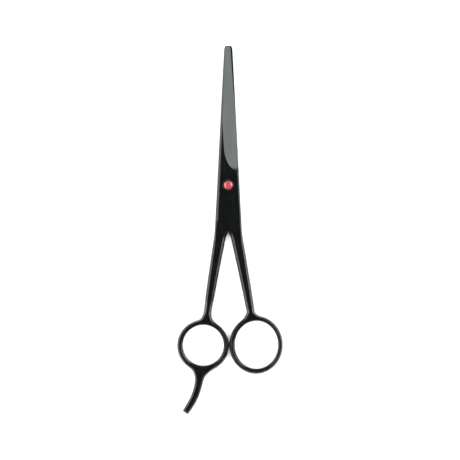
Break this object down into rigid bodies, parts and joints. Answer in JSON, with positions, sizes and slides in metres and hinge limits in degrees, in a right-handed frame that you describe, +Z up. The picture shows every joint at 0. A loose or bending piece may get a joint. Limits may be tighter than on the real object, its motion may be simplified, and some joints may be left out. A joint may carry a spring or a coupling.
{
  "type": "hair cutting shears",
  "caption": "Slim salon hair shears: two ground blades on an adjustable jewelled pivot, an oval thumb ring, a round finger ring and a curved finger rest.",
  "frame": {"origin": "on the pivot axis, at the back face of the tension nut, which lies on the surface with the rings", "axes": "+Y along the closed blades to the tips, +Z up along the pivot axis to the jewel, +X to the thumb ring's side"},
  "size_m": [0.0531, 0.1856, 0.0062],
  "materials": {
    "coated_steel": "black hard coating over ground and polished steel, gloss, with fine grinding lines",
    "screw_steel": "black, turned and polished",
    "red_stone": "clear red, faceted",
    "nylon": "natural, smooth",
    "spring_steel": "bright, stamped",
    "stop_rubber": "black, matt"
  },
  "bodies": {
    "finger_half": {"finger_blade": "coated_steel", "pivot_bolt": "screw_steel", "pivot_jewel": "red_stone", "spring_washer": "spring_steel"},
    "thumb_half": {"thumb_blade": "coated_steel", "pivot_bush": "nylon", "ring_stop": "stop_rubber"},
    "nut": {"tension_nut": "screw_steel"}
  },
  "joints": [
    {"name": "thumb_half_opening", "type": "hinge", "parent": "finger_half", "child": "thumb_half", "pos_m": [0, 0, 0], "axis": [0, 0, 1], "range_deg": [0, 140]},
    {"name": "tension_nut_turn", "type": "hinge", "parent": "finger_half", "child": "nut", "pos_m": [0, 0, 0], "axis": [0, 0, 1], "range_deg": [-180, 180]}
  ]
}
